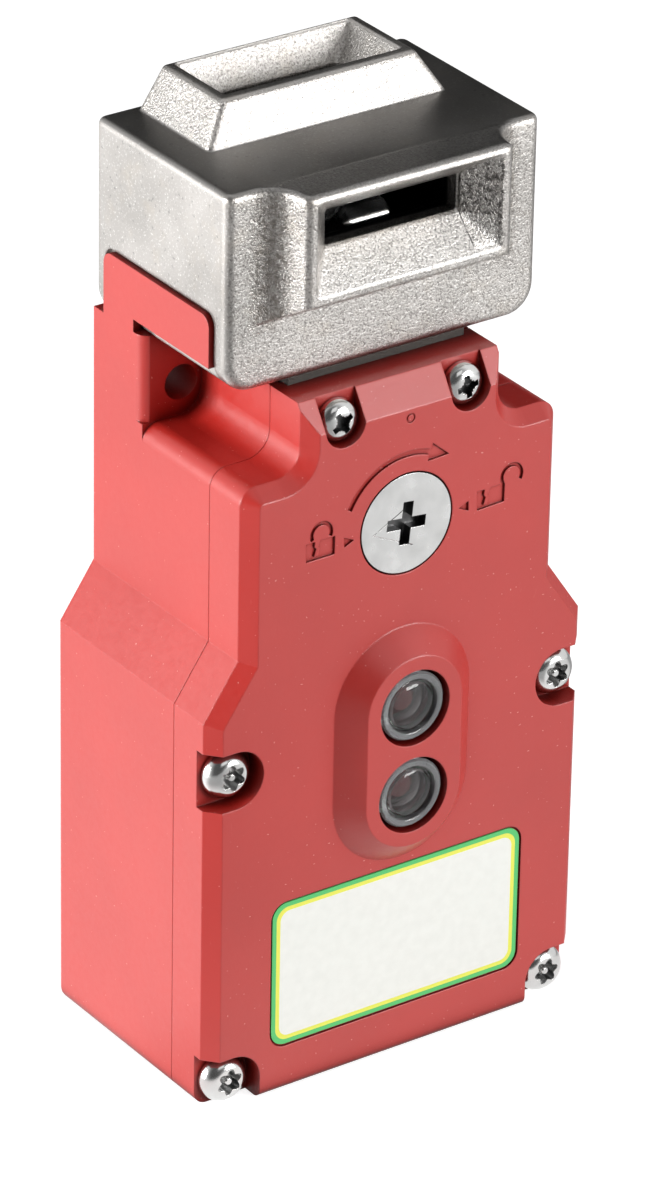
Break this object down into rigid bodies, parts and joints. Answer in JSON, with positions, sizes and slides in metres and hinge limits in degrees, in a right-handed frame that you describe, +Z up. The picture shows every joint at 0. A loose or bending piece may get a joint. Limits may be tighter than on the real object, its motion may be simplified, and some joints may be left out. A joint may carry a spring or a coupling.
{
  "type": "solenoid interlock switch",
  "caption": "Slim red plastic safety interlock switch with a metal actuator head slotted at its front and top, indicator lenses, a slotted release disc and a screwed front cover.",
  "frame": {"origin": "on the axis of the conduit entry, in the plane of the base", "axes": "+Z up along the body, +Y from the cover to the mounting face, so the front faces -Y; +X to the right seen from the front"},
  "size_m": [0.06, 0.0396, 0.1351],
  "materials": {
    "red_housing": "moulded glass-filled plastic with a fine even grain and a soft sheen",
    "release_metal": "turned and bright plated metal",
    "zinc_casting": "tumbled die-cast zinc, satin with a sandy grain",
    "plated_steel": "zinc-plated pressed steel",
    "bright_screw": "bright plated screw",
    "bright_steel": "ground and polished steel",
    "spring_steel": "drawn spring wire",
    "brass_screw": "turned brass",
    "black_plastic": "moulded black plastic",
    "cream_plastic": "moulded natural plastic",
    "black_rubber": "black rubber",
    "coil_tape": "enamelled copper winding under varnish",
    "label_film": "printed film with plain fields of colour",
    "clear_lens": "clear moulded lens",
    "red_lamp": "tinted lamp body",
    "green_board": "printed board"
  },
  "bodies": {
    "switch_body": {"housing": "red_housing", "front_cover": "red_housing", "label_plate": "label_film", "cover_gasket": "black_rubber", "cover_screws": "bright_screw", "head_screws": "bright_screw", "head_casting": "zinc_casting", "head_base_plate": "plated_steel", "head_base_screws": "plated_steel", "cam_shaft": "bright_steel", "shaft_keepers": "black_plastic", "plunger_bush": "black_plastic", "plunger_spring": "spring_steel", "contact_blocks": "black_plastic", "block_screws": "brass_screw", "lock_spring": "spring_steel", "solenoid_yoke": "plated_steel", "solenoid_bobbin": "cream_plastic", "solenoid_coil": "coil_tape", "yoke_screws": "plated_steel", "terminal_block": "black_plastic", "terminal_screws": "brass_screw", "indicator_lenses": "clear_lens", "indicator_lamps": "red_lamp", "indicator_board": "green_board", "board_screws": "plated_steel"},
    "cam": {"cam_wheel": "bright_steel"},
    "plunger": {"actuating_plunger": "bright_steel", "contact_slide": "cream_plastic"},
    "lock": {"lock_slide": "plated_steel", "armature": "bright_steel"},
    "release": {"release_disc": "release_metal", "release_clip": "spring_steel", "release_seal": "black_rubber"}
  },
  "joints": [
    {"name": "cam_turn", "type": "hinge", "parent": "switch_body", "child": "cam", "pos_m": [0, -0.0034, 0.1108], "axis": [-1, 0, 0], "range_deg": [0, 30]},
    {"name": "plunger_slide", "type": "slide", "parent": "switch_body", "child": "plunger", "axis": [0, 0, 1], "range_m": [0, 0.002], "deforming": ["plunger_spring"]},
    {"name": "lock_lift", "type": "slide", "parent": "switch_body", "child": "lock", "axis": [0, 0, 1], "range_m": [0, 0.002], "deforming": ["lock_spring"]},
    {"name": "release_turn", "type": "hinge", "parent": "switch_body", "child": "release", "pos_m": [0, -0.0212, 0.07995], "axis": [0, 1, 0], "range_deg": [0, 180]}
  ],
  "couplings": [
    {"joint": "cam_turn", "follows": "plunger_slide", "rad_per_m": 261.8},
    {"joint": "lock_lift", "follows": "plunger_slide", "ratio": 1}
  ]
}
